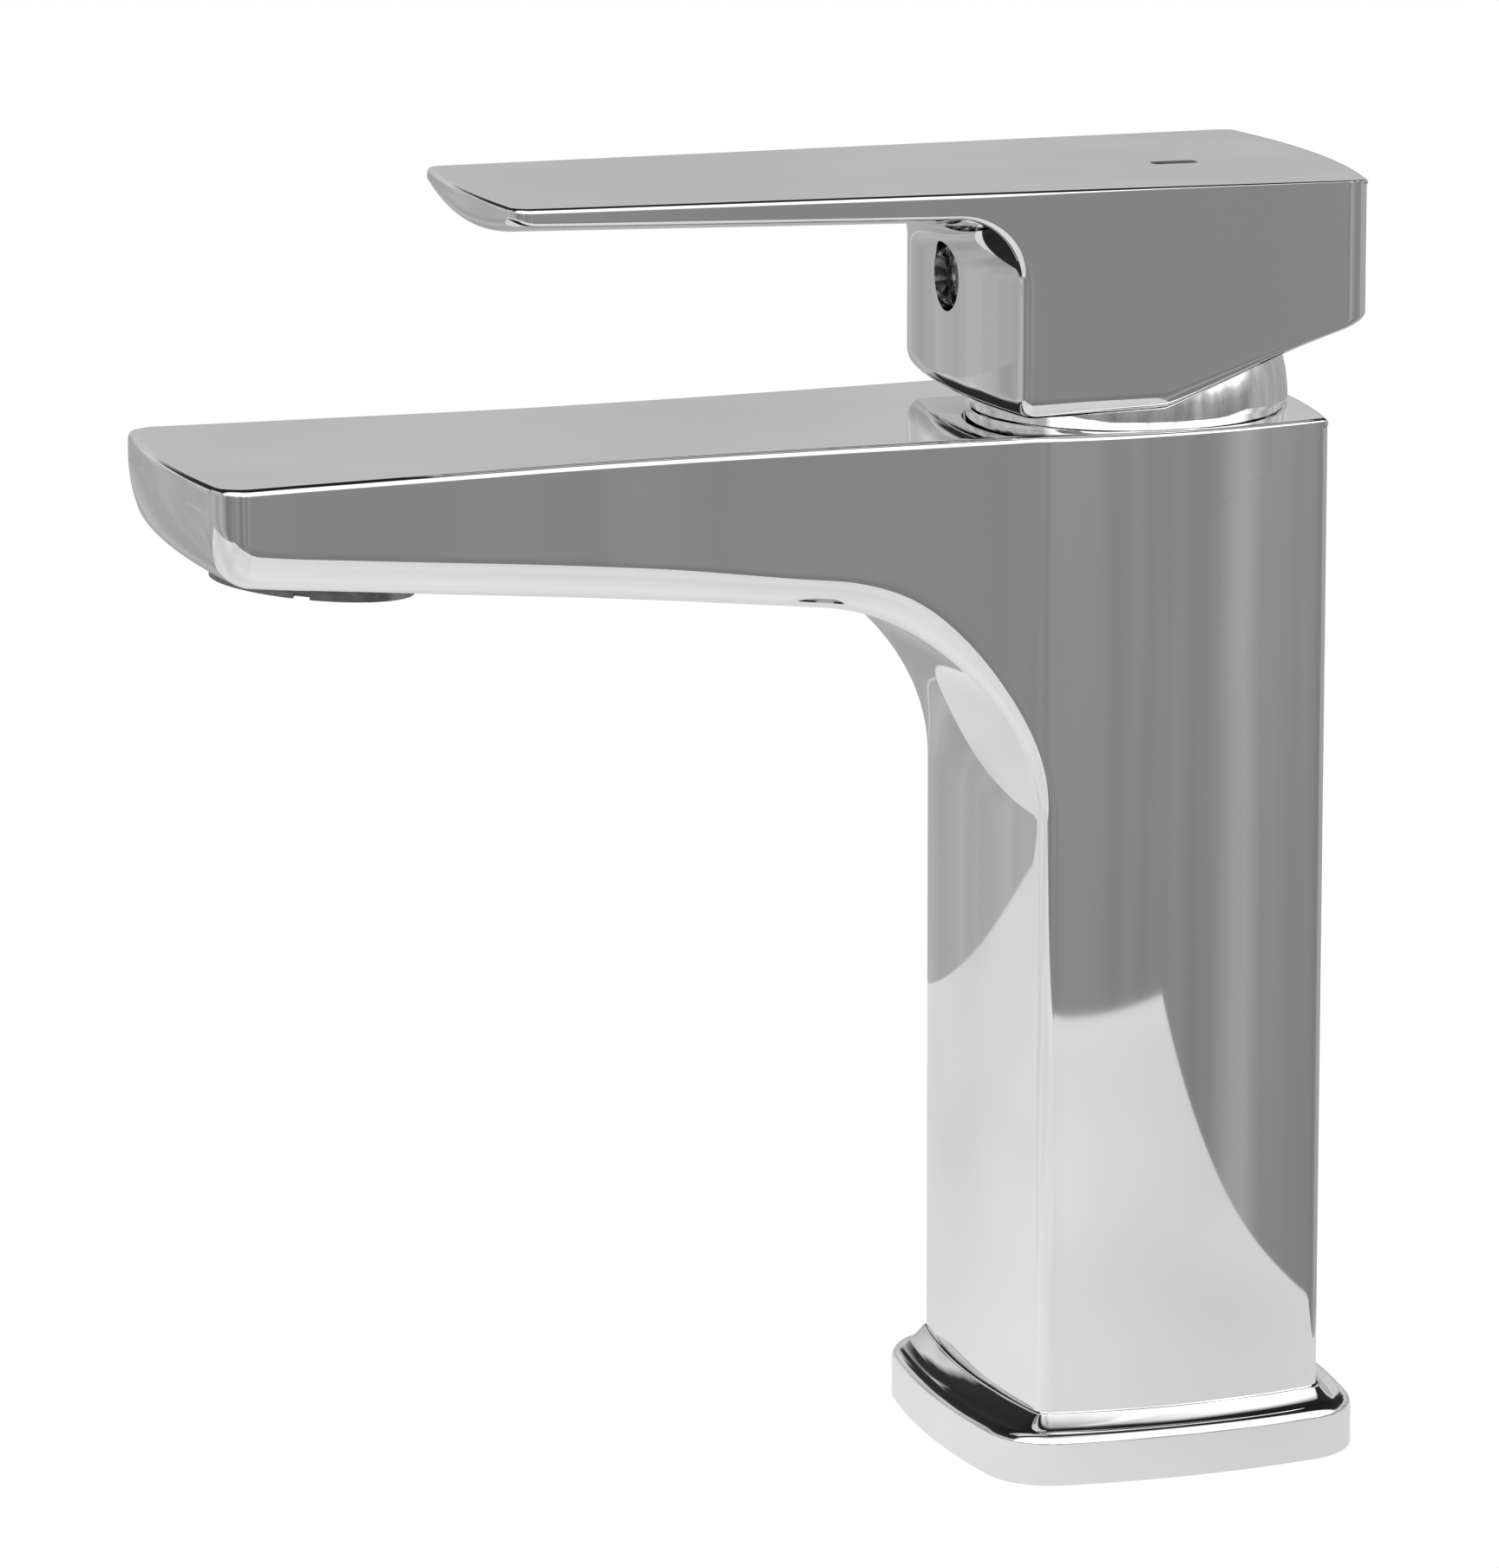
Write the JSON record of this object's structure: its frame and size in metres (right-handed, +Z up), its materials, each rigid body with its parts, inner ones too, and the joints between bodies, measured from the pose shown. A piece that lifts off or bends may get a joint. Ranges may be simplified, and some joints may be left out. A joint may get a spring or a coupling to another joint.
{
  "type": "single-lever basin mixer tap",
  "caption": "Single-lever basin mixer with a square base flange, bowed column, long flat spout, aerator, and a wide lever whose hollow head turns and lifts on a dome over a ceramic cartridge.",
  "frame": {"origin": "centre of the base flange's underside, on the deck plane", "axes": "+Z up along the column, spout and lever point to -Y, +X is the user's right when facing the tap; X is the mirror direction of the casting"},
  "size_m": [0.0526, 0.1506, 0.1635],
  "materials": {
    "chrome": "polished",
    "aerator_chrome": "satin",
    "cap_plastic": "gloss",
    "mark_enamel": "gloss",
    "rubber": "matte",
    "cartridge_plastic": "matte",
    "limit_plastic": "matte",
    "ceramic": "lapped ceramic",
    "brass": "machined",
    "steel": "brushed",
    "insert_plastic": "matte"
  },
  "bodies": {
    "faucet_body": {"body": "chrome", "base_flange": "chrome", "base_gasket": "rubber", "hot_inlet_seal": "rubber", "cold_inlet_seal": "rubber", "outlet_seal": "rubber", "cartridge_base": "cartridge_plastic", "fixed_disc": "ceramic", "cartridge_housing": "cartridge_plastic", "cartridge_nut": "brass", "hot_limit_ring": "limit_plastic", "dome_collar": "chrome", "collar_oring": "rubber", "aerator_housing": "aerator_chrome", "aerator_screen": "steel", "aerator_insert": "insert_plastic", "aerator_seal": "rubber"},
    "swivel": {"cartridge_rotor": "cartridge_plastic", "stem_pin": "steel"},
    "lever": {"cartridge_stem": "brass", "handle": "chrome", "handle_screw": "steel", "screw_cap": "cap_plastic", "index_mark": "mark_enamel"},
    "disc": {"disc_carrier": "cartridge_plastic", "moving_disc": "ceramic"}
  },
  "joints": [
    {"name": "lever_turn", "type": "hinge", "parent": "faucet_body", "child": "swivel", "pos_m": [0, 0, 0.133], "axis": [0, 0, 1], "range_deg": [-45, 45]},
    {"name": "lever_lift", "type": "hinge", "parent": "swivel", "child": "lever", "pos_m": [0, 0, 0.133], "axis": [-1, 0, 0], "range_deg": [0, 22]},
    {"name": "disc_slide", "type": "slide", "parent": "swivel", "child": "disc", "axis": [0, -1, 0], "range_m": [0, 0.004]}
  ],
  "couplings": [
    {"joint": "disc_slide", "follows": "lever_lift", "m_per_rad": 0.0104}
  ]
}
